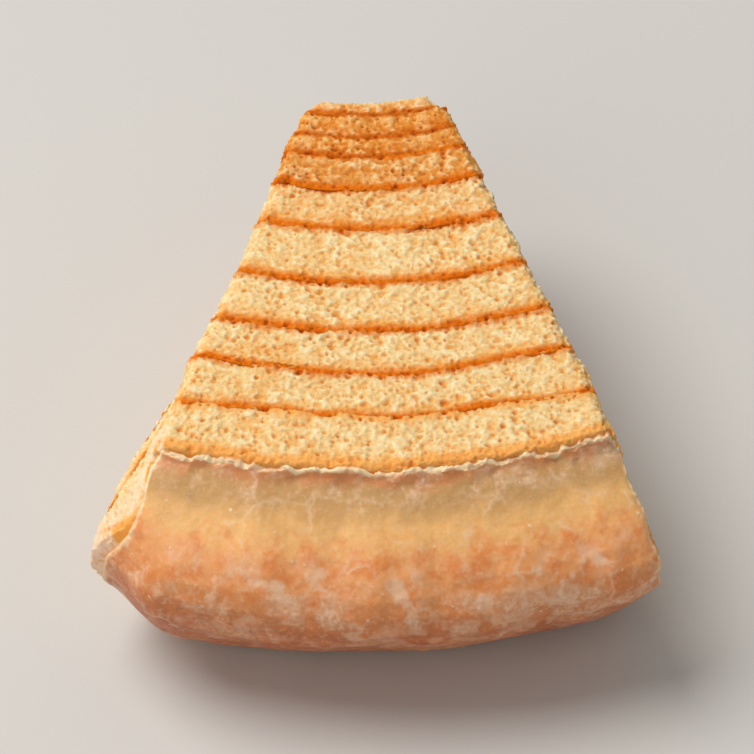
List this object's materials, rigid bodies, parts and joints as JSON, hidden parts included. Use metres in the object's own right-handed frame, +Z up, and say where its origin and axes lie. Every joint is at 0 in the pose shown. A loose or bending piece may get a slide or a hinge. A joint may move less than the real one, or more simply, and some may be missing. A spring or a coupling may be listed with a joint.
{
  "type": "baumkuchen slice",
  "caption": "Wedge of baked ring cake with a swelling rim under a shell of sugar glaze, lying on its lower cut face.",
  "frame": {"origin": "middle of the bounding box of the wedge, at the level of the surface that it lies on", "axes": "+Z up from the lower cut face to the upper one, +Y from the glazed rim towards the narrow end at the hole, +X to the right as seen from the rim"},
  "size_m": [0.0484, 0.052, 0.0226],
  "materials": {
    "inner_crumb": "rough, well baked",
    "crumb": "rough, fine crumb",
    "glaze": "satin sugar"
  },
  "bodies": {
    "root": {"ring_01": "inner_crumb", "ring_02": "inner_crumb", "ring_03": "inner_crumb", "ring_04": "crumb", "ring_05": "crumb", "ring_06": "crumb", "ring_07": "crumb", "ring_08": "crumb", "ring_09": "crumb", "ring_10": "crumb", "sugar_glaze": "glaze"}
  },
  "joints": []
}
